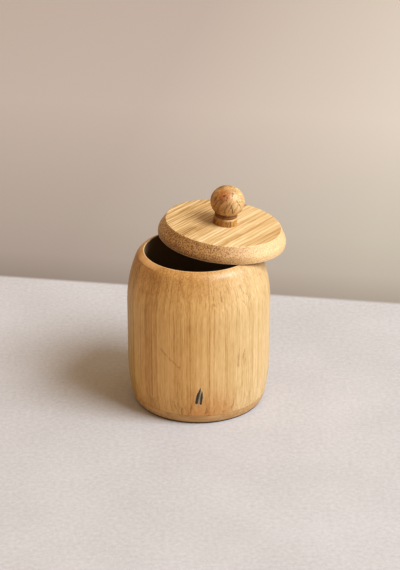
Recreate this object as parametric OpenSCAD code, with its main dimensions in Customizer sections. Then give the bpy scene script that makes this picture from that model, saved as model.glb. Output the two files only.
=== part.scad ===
// Turned bamboo jar with a lid and a ball knob. The lid lies askew on the rim.
// Millimetres. The jar stands on z = 0 with its axis on the z axis, and its front faces -y.

/* [Jar] */
// Width of the jar at its widest
body_w = 100; // [80:1:140]
// Height of the jar from the floor to the top of its rim
body_h = 112.3; // [95:0.5:160]
// Thickness of the wall where the jar is widest
wall = 12.3; // [10:0.1:16]
// Thickness of the wall at the mouth, before the rim is rounded
rim_wall = 4; // [3:0.1:6]
// Height over which the shoulder curves in to the rim
shoulder_h = 36.8; // [25:0.5:48]
// Radius that rolls the rim over from the shoulder
rim_round = 9; // [5:0.5:12]
// Radius of the small rounding on the inner edge of the mouth
mouth_edge = 0.6; // [0.3:0.1:1]
// Height at which the side starts to curve in towards the foot
belly_low = 34.5; // [25:0.5:40]
// Radius of the gentle curve from the belly down to the glue line
low_curve = 150; // [100:5:250]

/* [Base disc] */
// Height of the visible edge of the base disc
base_h = 7.2; // [5:0.1:10]
// Radius of the rounded edge of the base disc
foot_round = 21; // [18:0.5:40]
// Size of the small bevel where the base meets the floor
foot_bevel = 0.5; // [0.2:0.1:1]
// Height of the step that locates the base disc in the bore
step_h = 3; // [1.5:0.5:6]
// Gap all round between that step and the bore
step_clear = 0.15; // [0.05:0.05:0.3]

/* [Lid] */
// Thickness of the lid
lid_t = 11.6; // [10:0.1:16]
// Width of the ring round the rebate, out to the widest part of the lid
lid_skirt = 2.6; // [2:0.1:5]
// Depth of the rebate that drops over the rim when the jar is closed
rebate_h = 2; // [1.5:0.1:3]
// Gap all round between the rebate and the rim when the jar is closed
rebate_clear = 0.6; // [0.3:0.1:1.5]
// Height of the widest part of the lid above its lower edge
lid_belly = 1.9; // [1:0.1:3]
// Radius of the bulging edge of the lid
lid_round = 8; // [5:0.5:10]
// Slope of the upper edge of the lid, in degrees from upright
lid_slope = 30; // [10:1:35]
// Size of the small bevel on the lower edge of the lid
lid_bevel = 0.5; // [0.2:0.1:0.8]

/* [Lid as it lies] */
// How far the lid lies off the axis to the right
lid_x = 16; // [12:0.5:20]
// How far the lid lies off the axis to the back
lid_y = 15.7; // [12:0.1:20]
// Tilt of the lid in degrees
lid_tilt = 6.1; // [4:0.1:8]
// Direction in which the lid slopes down, in degrees from the right
lid_tilt_dir = -4.8; // [-15:0.1:10]
// Gap between the lower edge of the lid and the rim where they are closest
lid_rest = 0.15; // [0.05:0.05:0.3]

/* [Knob] */
// Width of the ball
ball_w = 23.8; // [20:0.1:30]
// Height that the ball has if it is drawn whole, a little less than its width
ball_h = 22; // [18:0.1:30]
// Width of the collar where it stands on the lid
collar_w = 17.2; // [16.5:0.1:22]
// Height of the collar
collar_h = 5.2; // [3:0.1:7]
// How far the side of the collar leans in
collar_lean = 0.4; // [0.1:0.1:0.6]
// Size of the bevel on the top edge of the collar
collar_bevel = 0.7; // [0.3:0.1:1]
// Width of the neck where it meets the ball, and again where it meets the collar
neck_w = 14.8; // [12:0.1:15]
// Height of the neck from the collar to the ball
neck_h = 2.6; // [1:0.1:5]
// How far the neck bulges out between its two ends
neck_bulge = 0.6; // [0.3:0.1:0.8]
// How far off the middle of the lid the knob was fixed
knob_x = 1; // [0:0.1:3]

/* [Screw] */
// Diameter of the screw's shank
shank_d = 3; // [2:0.1:4]
// Diameter of the screw's head
head_d = 7; // [6:0.1:9]
// Length of the screw
screw_l = 20; // [16:0.5:24]
// Gap between the shank and the pilot hole in the knob
pilot_clear = 0.05; // [0.02:0.01:0.2]
// Gap between the shank and its hole in the lid
hole_clear = 0.4; // [0.2:0.1:0.8]
// Gap between the head and its countersink
head_clear = 0.1; // [0.05:0.05:0.3]
// Width across the cross recess in the head
recess_w = 4; // [3:0.1:5]
// Depth of the cross recess
recess_deep = 1.4; // [1:0.1:2]
// Width of each slot of the cross recess
recess_slot = 0.9; // [0.6:0.1:1.2]

/* [Hidden] */
$fn = 128;

bamboo = "#D2A56C";
bamboo_band = "#BC8B54";
bamboo_lid = "#E6C184";
bamboo_knob = "#B4763F";
steel = "#B8B8BC";

// Steps along each drawn arc
arc_steps = 14;
// Thickness by which a cut runs past the face that it opens
past = 1;

// Points of an oval arc about a centre, from one angle to another
function oval(centre, wide, high, from, to) =
    [for (i = [0 : arc_steps])
        let (turn = from + (to - from) * i / arc_steps)
            centre + [wide * cos(turn), high * sin(turn)]];

// Points of a round arc
function arc(centre, r, from, to) = oval(centre, r, r, from, to);

// Side of the jar: a gentle curve up to the belly, an upright stretch, and a shoulder
body_r = body_w / 2;
bore_r = body_r - wall;
belly_high = body_h - shoulder_h;
shoulder_in = wall - rim_wall;
shoulder_r = (pow(shoulder_in, 2) + pow(shoulder_h, 2)) / (2 * shoulder_in);
shoulder_c = [body_r - shoulder_r, belly_high];

// The rim's arc touches the shoulder from inside and ends at the edge of the mouth
mouth = [bore_r + mouth_edge, body_h];
to_mouth = mouth - shoulder_c;
mouth_far = norm(to_mouth);
rim_along = (pow(shoulder_r - rim_round, 2) - pow(rim_round, 2) + pow(mouth_far, 2)) / (2 * mouth_far);
rim_aside = sqrt(pow(shoulder_r - rim_round, 2) - pow(rim_along, 2));
rim_c = shoulder_c + (rim_along * to_mouth + rim_aside * [to_mouth[1], -to_mouth[0]]) / mouth_far;
rim_turn = atan2(rim_c[1] - shoulder_c[1], rim_c[0] - shoulder_c[0]);
mouth_turn = atan2(mouth[1] - rim_c[1], mouth[0] - rim_c[0]);

// Foot: the base disc's edge carries on from the curve of the side
low_c = [body_r - low_curve, belly_low];
glue_turn = -asin((belly_low - base_h) / low_curve);
glue_r = low_c[0] + low_curve * cos(glue_turn);
foot_c = [glue_r - foot_round * cos(glue_turn), base_h - foot_round * sin(glue_turn)];
foot_turn = -asin((foot_c[1] - foot_bevel) / foot_round);
foot_r = foot_c[0] + foot_round * cos(foot_turn);

// Lid: the rebate clears the rolled rim, and the skirt stands outside it
rim_r = rim_c[0] + sqrt(pow(rim_round, 2) - pow(body_h - rebate_h - rim_c[1], 2));
rebate_r = rim_r + rebate_clear;
lid_r = rebate_r + lid_skirt;
lid_c = [lid_r - lid_round, lid_belly];
lid_low_turn = -asin((lid_belly - lid_bevel) / lid_round);
lid_low_r = lid_c[0] + lid_round * cos(lid_low_turn);
lid_turn = lid_c + lid_round * [cos(lid_slope), sin(lid_slope)];
lid_top_r = lid_turn[0] - (lid_t - lid_turn[1]) * tan(lid_slope);

// Place of the lid: its lower edge stands on the rim where the rebate's corner crosses the mouth's edge
lid_off = norm([lid_x, lid_y]);
lid_way = atan2(lid_y, lid_x);
cross_way = lid_way - acos((pow(mouth[0], 2) + pow(lid_off, 2) - pow(rebate_r, 2)) / (2 * mouth[0] * lid_off));
lid_rise = tan(lid_tilt) * (mouth[0] * cos(cross_way - lid_tilt_dir) - lid_off * cos(lid_way - lid_tilt_dir));
lid_z = body_h + lid_rest + lid_rise;

// Knob, measured from the top of the lid, and screw, measured from the lid's lower edge
neck_r = neck_w / 2;
collar_r = collar_w / 2;
ball_r = ball_w / 2;
ball_up = ball_h / 2;
neck_top = collar_h + neck_h;
neck_curve = (pow(neck_h / 2, 2) + pow(neck_bulge, 2)) / (2 * neck_bulge);
neck_c = [neck_r + neck_bulge - neck_curve, collar_h + neck_h / 2];
neck_turn = atan2(neck_h / 2, neck_curve - neck_bulge);
ball_turn = acos(neck_r / ball_r);
ball_z = neck_top + ball_up * sin(ball_turn);
shank_r = shank_d / 2;
head_r = head_d / 2;
head_h = head_r - shank_r;
head_seat = rebate_h + head_clear;
tip_h = shank_d;
tip_r = shank_r / 4;
hole_r = shank_r + hole_clear;
sink_r = head_r + 2 * head_clear;
sink_h = sink_r - hole_r;
pilot_r = shank_r + pilot_clear;
pilot_deep = head_seat + screw_l - lid_t + past;

// Puts the lid, its knob and its screw where they lie on the rim
module on_rim() {
    translate([lid_x, lid_y, lid_z])
        rotate([0, 0, lid_tilt_dir])
            rotate([0, lid_tilt, 0])
                rotate([0, 0, -lid_tilt_dir])
                    children();
}

// Carries the knob, its screw and their hole to one place on the lid
module at_knob(up) {
    translate([knob_x, 0, up])
        children();
}

// Wall of glued staves, turned outside and bored straight through
module jar_body() {
    inner_edge = [bore_r + mouth_edge, body_h - mouth_edge];
    color(bamboo)
        rotate_extrude()
            polygon(concat(
                [[bore_r, base_h]],
                arc(low_c, low_curve, glue_turn, 0),
                arc(shoulder_c, shoulder_r, 0, rim_turn),
                arc(rim_c, rim_round, rim_turn, mouth_turn),
                arc(inner_edge, mouth_edge, 90, 180)
            ));
}

// Glued bottom, with the step that sits in the bore
module base_disc() {
    color(bamboo_band)
        rotate_extrude()
            polygon(concat(
                [[0, 0], [foot_r - foot_bevel, 0]],
                arc(foot_c, foot_round, foot_turn, glue_turn),
                [[bore_r - step_clear, base_h], [bore_r - step_clear, base_h + step_h], [0, base_h + step_h]]
            ));
}

// Section of the lid from its axis out, with the rebate under it
module lid_section() {
    polygon(concat(
        [[0, rebate_h], [rebate_r, rebate_h], [rebate_r, 0], [lid_low_r - lid_bevel, 0]],
        arc(lid_c, lid_round, lid_low_turn, lid_slope),
        [[lid_top_r, lid_t], [0, lid_t]]
    ));
}

// Lid with a hole and a countersink for the screw
module lid() {
    color(bamboo_lid)
        on_rim()
            difference() {
                rotate_extrude()
                    lid_section();
                at_knob(0)
                    cylinder(r = hole_r, h = lid_t + past);
                at_knob(rebate_h)
                    cylinder(r1 = sink_r, r2 = hole_r, h = sink_h);
            }
}

// Collar, neck and ball turned in one, with a pilot hole from below
module knob() {
    color(bamboo_knob)
        on_rim()
            at_knob(lid_t)
                difference() {
                    rotate_extrude()
                        polygon(concat(
                            [[0, 0], [collar_r, 0]],
                            [[collar_r - collar_lean, collar_h - collar_bevel]],
                            [[collar_r - collar_lean - collar_bevel, collar_h]],
                            arc(neck_c, neck_curve, -neck_turn, neck_turn),
                            oval([0, ball_z], ball_r, ball_up, -ball_turn, 90)
                        ));
                    translate([0, 0, -past])
                        cylinder(r = pilot_r, h = pilot_deep + past);
                }
}

// Countersunk wood screw with a cross recess, driven up through the lid
module knob_screw() {
    color(steel)
        on_rim()
            at_knob(head_seat)
                difference() {
                    union() {
                        cylinder(r1 = head_r, r2 = shank_r, h = head_h);
                        cylinder(r = shank_r, h = screw_l - tip_h);
                        translate([0, 0, screw_l - tip_h])
                            cylinder(r1 = shank_r, r2 = tip_r, h = tip_h);
                    }
                    for (turn = [0, 90])
                        rotate([0, 0, turn])
                            translate([-recess_w / 2, -recess_slot / 2, -past])
                                cube([recess_w, recess_slot, recess_deep + past]);
                }
}

jar_body();
base_disc();
lid();
knob();
knob_screw();
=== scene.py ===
# %% [markdown]
# ## A turned bamboo jar, dressed around its CAD frame
# The jar is glued up from bamboo staves, turned on a lathe, and closed below by a glued disc. Its lid is a
# second turning that lies askew on the rim, and a ball knob is screwed to it from beneath.
# The frame holds the real sizes. Everything here is in metres, in the same place as the frame's own pieces,
# and the frame's box is kept.

# %% Load the frame
import math
import bmesh
import bpy
from mathutils import Matrix, Vector


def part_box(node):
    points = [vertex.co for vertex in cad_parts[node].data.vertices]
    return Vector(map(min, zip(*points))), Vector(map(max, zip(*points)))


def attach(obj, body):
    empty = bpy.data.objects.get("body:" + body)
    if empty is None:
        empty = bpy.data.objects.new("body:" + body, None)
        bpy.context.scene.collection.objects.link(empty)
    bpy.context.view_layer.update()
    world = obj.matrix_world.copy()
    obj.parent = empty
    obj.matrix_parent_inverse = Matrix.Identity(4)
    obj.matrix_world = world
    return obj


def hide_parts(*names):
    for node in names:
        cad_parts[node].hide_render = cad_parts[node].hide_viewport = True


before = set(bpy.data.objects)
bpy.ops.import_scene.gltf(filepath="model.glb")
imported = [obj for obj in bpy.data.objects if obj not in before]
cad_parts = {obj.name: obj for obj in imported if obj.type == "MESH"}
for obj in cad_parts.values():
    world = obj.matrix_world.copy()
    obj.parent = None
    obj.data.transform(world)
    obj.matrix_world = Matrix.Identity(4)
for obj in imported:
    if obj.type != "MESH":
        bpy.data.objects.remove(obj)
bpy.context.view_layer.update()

MM = 0.001
print("frame nodes:", sorted(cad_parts))

# %% [markdown]
# ## The camera
# The photograph was taken from a little above, with a long lens, so upright lines stay nearly parallel.
# A camera can be placed by eye, but here its height, distance and lens were worked out from the outline of
# the jar: the ellipse of its foot gives the height of the camera, and the jar's width gives the scale.

# %% Camera
CAMERA_UP_DEG = 24.57
CAMERA_FAR = 1.3997
AIM = Vector((0.00088, 0.0, 0.08517))
FOCAL_PX = 2006.93
PICTURE_LONG_PX = 570
SENSOR_MM = 36.0


def new_object(name, data):
    """Makes an object and puts it in the scene."""
    made = bpy.data.objects.new(name, data)
    bpy.context.scene.collection.objects.link(made)
    return made


up = math.radians(CAMERA_UP_DEG)
back = Vector((0.0, -math.cos(up), math.sin(up)))
camera = new_object("camera", bpy.data.cameras.new("camera"))
camera.location = AIM + back * CAMERA_FAR
camera.rotation_euler = back.to_track_quat("Z", "Y").to_euler()
camera.data.sensor_width = SENSOR_MM
camera.data.lens = FOCAL_PX * SENSOR_MM / PICTURE_LONG_PX
bpy.context.scene.camera = camera
print("lens", round(camera.data.lens, 1), "mm")

# %% [markdown]
# ## Drawing a section the way a turner does
# Every wooden piece here comes off a lathe, so each one is a section swung round an axis. A section could be
# typed in as a long list of points, but a turner thinks in straight cuts and arcs, and so do these helpers:
# one extrudes the last point to a new place, and one swings it about a centre, which leaves an arc behind.

# %% Helpers that draw a section and turn it
ARC_STEP_DEG = 4.0
LATHE_STEPS = 256
WELD = 1e-6


def start_at(shape, radius, height):
    """The first point of a section, which lies in the plane y = 0."""
    return shape.verts.new((radius, 0.0, height))


def cut_to(shape, tip, radius, height):
    """A straight cut from the last point to a new one."""
    tip = bmesh.ops.extrude_vert_indiv(shape, verts=[tip])["verts"][0]
    tip.co = (radius, 0.0, height)
    return tip


def swing(shape, tip, centre, degrees):
    """An arc: the last point turns about a centre, upwards where degrees is positive."""
    steps = max(4, math.ceil(abs(degrees) / ARC_STEP_DEG))
    made = bmesh.ops.spin(shape, geom=[tip], cent=(centre[0], 0.0, centre[1]), axis=(0.0, -1.0, 0.0),
                          angle=math.radians(degrees), steps=steps)
    return [v for v in made["geom_last"] if isinstance(v, bmesh.types.BMVert)][0]


def turn_round(shape, steps=LATHE_STEPS):
    """Swings the whole section once round the z axis and closes its seam and its poles."""
    bmesh.ops.spin(shape, geom=shape.verts[:] + shape.edges[:], cent=(0.0, 0.0, 0.0), axis=(0.0, 0.0, 1.0),
                   angle=2 * math.pi, steps=steps, use_merge=True)
    bmesh.ops.remove_doubles(shape, verts=shape.verts[:], dist=WELD)
    bmesh.ops.recalc_face_normals(shape, faces=shape.faces[:])


# %% [markdown]
# ## From a shape to a piece
# A finished piece has its object at the origin and its place in its mesh, as the frame's own pieces have.
# Smooth shading hides the lathe steps, and edges that turn by more than a set angle stay crisp, which gives
# the eye the clean line where two cuts meet.

# %% Helpers that make a piece
CRISP_DEG = 24.0


def mesh_of(name, shape):
    """Turns a finished shape into a mesh."""
    mesh = bpy.data.meshes.new(name)
    shape.to_mesh(mesh)
    shape.free()
    return mesh


def make_piece(name, shape, node):
    """Makes an object of a shape, and lets it stand for a node of the frame."""
    mesh = mesh_of(name, shape)
    mesh.polygons.foreach_set("use_smooth", [True] * len(mesh.polygons))
    mesh.set_sharp_from_angle(angle=math.radians(CRISP_DEG))
    piece = new_object(name, mesh)
    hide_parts(node)
    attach(piece, "root")
    print(name, "has", sum(len(p.vertices) - 2 for p in mesh.polygons), "triangles")
    return piece


# %% [markdown]
# ## The wall of the jar
# The wall is a straight bore inside a barrel-shaped outside. Outside, a gentle curve rises to an upright
# belly, a long arc makes the shoulder, and a tighter arc rolls over into the mouth. The arcs touch each other
# without a corner, so each centre lies on the line through the last arc's end and its centre.

# %% Wall
wall_low, wall_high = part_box("jar_body")
BODY_R = (wall_high.x - wall_low.x) / 2
RIM_Z = wall_high.z
GLUE_Z = wall_low.z
WALL = 12.3 * MM
RIM_WALL = 4.0 * MM
SHOULDER_H = 36.8 * MM
RIM_ROUND = 9.0 * MM
MOUTH_EDGE = 0.6 * MM
BELLY_LOW = 34.5 * MM
LOW_CURVE = 150.0 * MM
GLUE_BEVEL = 0.18 * MM
BORE_R = BODY_R - WALL


def angle_of(point, centre):
    """The angle at which a point is seen from a centre, in degrees."""
    return math.degrees(math.atan2(point[1] - centre[1], point[0] - centre[0]))


def far_side(centre, radius, degrees):
    """The point of a circle at an angle."""
    turn = math.radians(degrees)
    return centre + radius * Vector((math.cos(turn), math.sin(turn)))


shoulder_in = WALL - RIM_WALL
SHOULDER_R = (shoulder_in ** 2 + SHOULDER_H ** 2) / (2 * shoulder_in)
shoulder_c = Vector((BODY_R - SHOULDER_R, RIM_Z - SHOULDER_H))
mouth = Vector((BORE_R + MOUTH_EDGE, RIM_Z))
to_mouth = mouth - shoulder_c
inner = SHOULDER_R - RIM_ROUND
along = (inner ** 2 - RIM_ROUND ** 2 + to_mouth.length_squared) / (2 * to_mouth.length)
aside = math.sqrt(inner ** 2 - along ** 2)
across = Vector((to_mouth.y, -to_mouth.x))
rim_c = shoulder_c + (along * to_mouth + aside * across) / to_mouth.length
rim_turn = angle_of(rim_c, shoulder_c)
low_c = Vector((BODY_R - LOW_CURVE, BELLY_LOW))
glue_turn = -math.degrees(math.asin((BELLY_LOW - GLUE_Z) / LOW_CURVE))
glue_point = far_side(low_c, LOW_CURVE, glue_turn)

shape = bmesh.new()
first = start_at(shape, BORE_R, GLUE_Z)
tip = cut_to(shape, first, glue_point.x - GLUE_BEVEL, GLUE_Z)
tip = cut_to(shape, tip, glue_point.x, glue_point.y + GLUE_BEVEL)
tip = swing(shape, tip, low_c, -glue_turn)
tip = cut_to(shape, tip, BODY_R, shoulder_c.y)
tip = swing(shape, tip, shoulder_c, rim_turn)
tip = swing(shape, tip, rim_c, angle_of(mouth, rim_c) - rim_turn)
tip = swing(shape, tip, (mouth.x, RIM_Z - MOUTH_EDGE), 90.0)
shape.edges.new((tip, first))
turn_round(shape)
wall = make_piece("turned_wall", shape, "jar_body")
print("bore", round(2 * BORE_R / MM, 1), "mm, rim at", round(RIM_Z / MM, 1), "mm")

# %% [markdown]
# ## The glued bottom
# The band at the foot is the edge of a separate disc. Its edge carries on the curve of the wall and tucks
# under, and a hair-thin bevel on each side of the glue line lets a fine shadow fall there. Inside, a low step
# fills the bore, so the disc can't slide while the glue sets.

# %% Bottom
base_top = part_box("base_disc")[1].z
FOOT_ROUND = 21.0 * MM
FOOT_BEVEL = 0.5 * MM
STEP_CLEAR = 0.15 * MM

foot_c = glue_point - (glue_point - low_c).normalized() * FOOT_ROUND
foot_turn = -math.degrees(math.asin((foot_c.y - FOOT_BEVEL) / FOOT_ROUND))
foot_point = far_side(foot_c, FOOT_ROUND, foot_turn)
step_r = BORE_R - STEP_CLEAR

shape = bmesh.new()
tip = start_at(shape, 0.0, 0.0)
tip = cut_to(shape, tip, foot_point.x - FOOT_BEVEL, 0.0)
tip = cut_to(shape, tip, foot_point.x, foot_point.y)
tip = swing(shape, tip, foot_c, glue_turn - foot_turn)
tip = cut_to(shape, tip, glue_point.x - GLUE_BEVEL, GLUE_Z)
tip = cut_to(shape, tip, step_r, GLUE_Z)
tip = cut_to(shape, tip, step_r, base_top)
tip = cut_to(shape, tip, 0.0, base_top)
turn_round(shape)
bottom = make_piece("glued_bottom", shape, "base_disc")

# %% [markdown]
# ## The lid
# The lid has a bulging edge below a plain slope, and a flat top whose corner was left crisp by the turner's
# chisel. Underneath, a shallow rebate would drop over the rim if the jar were closed. It is drawn upright on
# its own axis first. Then one matrix lays it askew on the rim: the tilt is the photograph's, and the height
# is read off the frame, so the lid lies just where the frame's lid does.

# %% Lid
LID_T = 11.6 * MM
LID_SKIRT = 2.6 * MM
REBATE_H = 2.0 * MM
REBATE_CLEAR = 0.6 * MM
LID_BELLY = 1.9 * MM
LID_ROUND = 8.0 * MM
LID_SLOPE_DEG = 30.0
LID_BEVEL = 0.5 * MM
TOP_BEVEL = 0.25 * MM
SHANK_R = 1.5 * MM
HEAD_R = 3.5 * MM
HEAD_CLEAR = 0.1 * MM
HOLE_CLEAR = 0.4 * MM
HOLE_R = SHANK_R + HOLE_CLEAR
SINK_R = HEAD_R + 2 * HEAD_CLEAR
KNOB_X = 1.0 * MM
LID_AT = Vector((16.0, 15.7)) * MM
LID_TILT_DEG = 6.1
LID_TILT_WAY_DEG = -4.8

rim_drop = RIM_Z - REBATE_H - rim_c.y
rebate_r = rim_c.x + math.sqrt(RIM_ROUND ** 2 - rim_drop ** 2) + REBATE_CLEAR
lid_c = Vector((rebate_r + LID_SKIRT - LID_ROUND, LID_BELLY))
lid_low_turn = -math.degrees(math.asin((LID_BELLY - LID_BEVEL) / LID_ROUND))
lid_low = far_side(lid_c, LID_ROUND, lid_low_turn)
lid_bend = far_side(lid_c, LID_ROUND, LID_SLOPE_DEG)
slope = math.tan(math.radians(LID_SLOPE_DEG))
lid_top_r = lid_bend.x - (LID_T - lid_bend.y) * slope

shape = bmesh.new()
first = start_at(shape, HOLE_R, LID_T)
tip = cut_to(shape, first, HOLE_R, REBATE_H + SINK_R - HOLE_R)
tip = cut_to(shape, tip, SINK_R, REBATE_H)
tip = cut_to(shape, tip, rebate_r, REBATE_H)
tip = cut_to(shape, tip, rebate_r, 0.0)
tip = cut_to(shape, tip, lid_low.x - LID_BEVEL, 0.0)
tip = cut_to(shape, tip, lid_low.x, lid_low.y)
tip = swing(shape, tip, lid_c, LID_SLOPE_DEG - lid_low_turn)
tip = cut_to(shape, tip, lid_top_r + TOP_BEVEL * slope, LID_T - TOP_BEVEL)
tip = cut_to(shape, tip, lid_top_r - TOP_BEVEL, LID_T)
shape.edges.new((tip, first))
turn_round(shape)
hole = [v for v in shape.verts if v.co.xy.length < SINK_R + WELD]
bmesh.ops.translate(shape, verts=hole, vec=(KNOB_X, 0.0, 0.0))

way = Matrix.Rotation(math.radians(LID_TILT_WAY_DEG), 4, "Z")
tilt = way @ Matrix.Rotation(math.radians(LID_TILT_DEG), 4, "Y") @ way.inverted()
lowest = min((tilt @ v.co).z for v in shape.verts)
lid_at = Vector((LID_AT.x, LID_AT.y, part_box("lid")[0].z - lowest))
ON_RIM = Matrix.Translation(lid_at) @ tilt
bmesh.ops.transform(shape, matrix=ON_RIM, verts=shape.verts[:])
lid = make_piece("turned_lid", shape, "lid")
print("lid lies", round((lid_at.z - RIM_Z) / MM, 2), "mm above the rim at its middle")

# %% [markdown]
# ## The knob
# The knob is one small turning: a bevelled collar that spreads the screw's pull, a neck that bulges between
# two pinches, and a ball a little flatter than it is wide. The pinches matter more than their half
# millimetre suggests: the dark line under the ball and the bright bevel below it are what the eye reads as
# turned work. The ball is swung as a round arc first and then pressed to its real height.

# %% Knob
BALL_R = 11.9 * MM
BALL_UP = 10.98 * MM
COLLAR_R = 8.6 * MM
COLLAR_H = 5.2 * MM
COLLAR_LEAN = 0.4 * MM
COLLAR_BEVEL = 0.7 * MM
NECK_R = 7.4 * MM
NECK_H = 2.6 * MM
NECK_BULGE = 0.6 * MM
PILOT_CLEAR = 0.05 * MM
PILOT_R = SHANK_R + PILOT_CLEAR
SCREW_L = 20.0 * MM
HEAD_SEAT = REBATE_H + HEAD_CLEAR
SPARE = 1.0 * MM

ball_turn = math.degrees(math.acos(NECK_R / BALL_R))
ball_z = COLLAR_H + NECK_H + BALL_UP * math.sin(math.radians(ball_turn))
pilot_top = HEAD_SEAT + SCREW_L - LID_T + SPARE
neck_curve = ((NECK_H / 2) ** 2 + NECK_BULGE ** 2) / (2 * NECK_BULGE)
neck_c = Vector((NECK_R + NECK_BULGE - neck_curve, COLLAR_H + NECK_H / 2))
neck_turn = math.degrees(math.atan2(NECK_H / 2, neck_curve - NECK_BULGE))

shape = bmesh.new()
tip = start_at(shape, 0.0, pilot_top)
tip = cut_to(shape, tip, PILOT_R, pilot_top)
tip = cut_to(shape, tip, PILOT_R, 0.0)
tip = cut_to(shape, tip, COLLAR_R, 0.0)
tip = cut_to(shape, tip, COLLAR_R - COLLAR_LEAN, COLLAR_H - COLLAR_BEVEL)
tip = cut_to(shape, tip, COLLAR_R - COLLAR_LEAN - COLLAR_BEVEL, COLLAR_H)
tip = cut_to(shape, tip, NECK_R, COLLAR_H)
tip = swing(shape, tip, neck_c, 2 * neck_turn)
neck = far_side(Vector((0.0, ball_z)), BALL_R, -ball_turn)
drawn = set(shape.verts)
tip = cut_to(shape, tip, neck.x, neck.y)
tip = swing(shape, tip, (0.0, ball_z), 90.0 + ball_turn)
ball = [v for v in shape.verts if v not in drawn]
press = Matrix.Translation((0, 0, ball_z)) @ Matrix.Scale(BALL_UP / BALL_R, 4, (0, 0, 1))
press = press @ Matrix.Translation((0, 0, -ball_z))
bmesh.ops.transform(shape, matrix=press, verts=ball)
turn_round(shape)
ON_LID = ON_RIM @ Matrix.Translation((KNOB_X, 0.0, LID_T))
bmesh.ops.transform(shape, matrix=ON_LID, verts=shape.verts[:])
knob = make_piece("ball_knob", shape, "knob")
print("knob stands", round((ball_z + BALL_UP) / MM, 1), "mm above the lid")

# %% [markdown]
# ## The screw
# Only the head of the screw can be seen, and only from beneath, but a shank without a thread would look wrong
# in the model. A thread is a small ridge that climbs as it turns, and the spin operator makes it when it is
# also given a step along the axis. The cross recess is pressed into the head: four thin walls are easier to
# read as a cross than a texture would be.

# %% Screw
SCREW_STEPS = 96
THREAD_PITCH = 1.2 * MM
THREAD_DEEP = 0.35 * MM
THREAD_TURNS = 9
THREAD_STEPS = 24
THREAD_LOW = HEAD_R + 2.0 * MM
TIP_H = 3.0 * MM
TIP_R = SHANK_R / 4
HEAD_RIM = 0.25 * MM
RECESS_R = 2.0 * MM
RECESS_DEEP = 1.4 * MM
RECESS_HALF = 0.45 * MM

shape = bmesh.new()
tip = start_at(shape, 0.0, 0.0)
tip = cut_to(shape, tip, HEAD_R - HEAD_RIM, 0.0)
tip = cut_to(shape, tip, HEAD_R - HEAD_RIM / 2, HEAD_RIM / 2)
tip = cut_to(shape, tip, SHANK_R, HEAD_R - SHANK_R)
tip = cut_to(shape, tip, SHANK_R, SCREW_L - TIP_H)
tip = cut_to(shape, tip, TIP_R, SCREW_L)
tip = cut_to(shape, tip, 0.0, SCREW_L)
turn_round(shape, SCREW_STEPS)
core = new_object("screw_core", mesh_of("screw_core", shape))

cross = bmesh.new()
for turn_deg in (0.0, 90.0):
    size = Matrix.Diagonal((2 * RECESS_R, 2 * RECESS_HALF, 2 * RECESS_DEEP, 1.0))
    turned = Matrix.Rotation(math.radians(turn_deg), 4, "Z") @ size
    bmesh.ops.create_cube(cross, size=1.0, matrix=turned)
cutter = new_object("cross_cutter", mesh_of("cross_cutter", cross))
recess = core.modifiers.new("cross_recess", "BOOLEAN")
recess.operation = "DIFFERENCE"
recess.solver = "EXACT"
recess.use_self = True
recess.object = cutter
graph = bpy.context.evaluated_depsgraph_get()
shape = bmesh.new()
shape.from_object(core, graph)
for helper in (cutter, core):
    bpy.data.objects.remove(helper)

ridge = start_at(shape, SHANK_R - THREAD_DEEP / 4, 0.0)
ridge.co.z = THREAD_LOW
crest = cut_to(shape, ridge, SHANK_R + THREAD_DEEP, THREAD_LOW + THREAD_PITCH / 4)
root = cut_to(shape, crest, SHANK_R - THREAD_DEEP / 4, THREAD_LOW + THREAD_PITCH / 2)
outline = [ridge, crest, root]
lines = list({e for v in outline for e in v.link_edges})
lines.append(shape.edges.new((root, ridge)))
ends = shape.faces.new(outline)
bmesh.ops.spin(shape, geom=outline + lines + [ends], cent=(0.0, 0.0, 0.0), axis=(0.0, 0.0, 1.0),
               dvec=(0.0, 0.0, THREAD_PITCH / THREAD_STEPS), angle=2 * math.pi * THREAD_TURNS,
               steps=THREAD_TURNS * THREAD_STEPS)
bmesh.ops.recalc_face_normals(shape, faces=shape.faces[:])
IN_LID = ON_RIM @ Matrix.Translation((KNOB_X, 0.0, HEAD_SEAT))
bmesh.ops.transform(shape, matrix=IN_LID, verts=shape.verts[:])
screw = make_piece("wood_screw", shape, "knob_screw")

# %% [markdown]
# ## Colours and nodes
# Colours are written as the eye names them, in sRGB, and one function turns them to the linear light that
# the renderer works in. One function adds a node with its settings and its links, so that a material reads
# as a list of steps. The shader comes last, once everything that feeds it is there.

# %% Helpers for materials
SMOOTH = {"interpolation_type": "SMOOTHSTEP"}
FALLING = {"To Min": 1.0, "To Max": 0.0}
COLOUR = {"data_type": "RGBA"}
TINT = {"data_type": "RGBA", "blend_type": "MULTIPLY"}


def linear(text):
    """An sRGB colour such as #D2A56C as linear light."""
    parts = [int(text[i:i + 2], 16) / 255 for i in (1, 3, 5)]
    return [c / 12.92 if c <= 0.04045 else ((c + 0.055) / 1.055) ** 2.4 for c in parts] + [1.0]


def add(tree, kind, inputs=None, stops=None, **settings):
    """Adds a node. An input is a number, a hex colour, another node's socket or that node's own result."""
    node = tree.nodes.new("ShaderNode" + kind)
    for key, value in settings.items():
        setattr(node, key, value)
    for place, colour in stops or []:
        ramp = node.color_ramp.elements
        spot = ramp[-1] if place >= 1 else ramp[0] if place <= 0 else ramp.new(place)
        spot.color = linear(colour)
    for key, value in (inputs or {}).items():
        if isinstance(value, bpy.types.Node):
            value = next(result for result in value.outputs if result.enabled)
        if isinstance(value, bpy.types.NodeSocket):
            tree.links.new(value, node.inputs[key])
        else:
            node.inputs[key].default_value = linear(value) if isinstance(value, str) else value
    return node


def new_material(name):
    """An empty material and its node tree."""
    material = bpy.data.materials.new(name)
    material.use_nodes = True
    material.node_tree.nodes.clear()
    return material, material.node_tree


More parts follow.
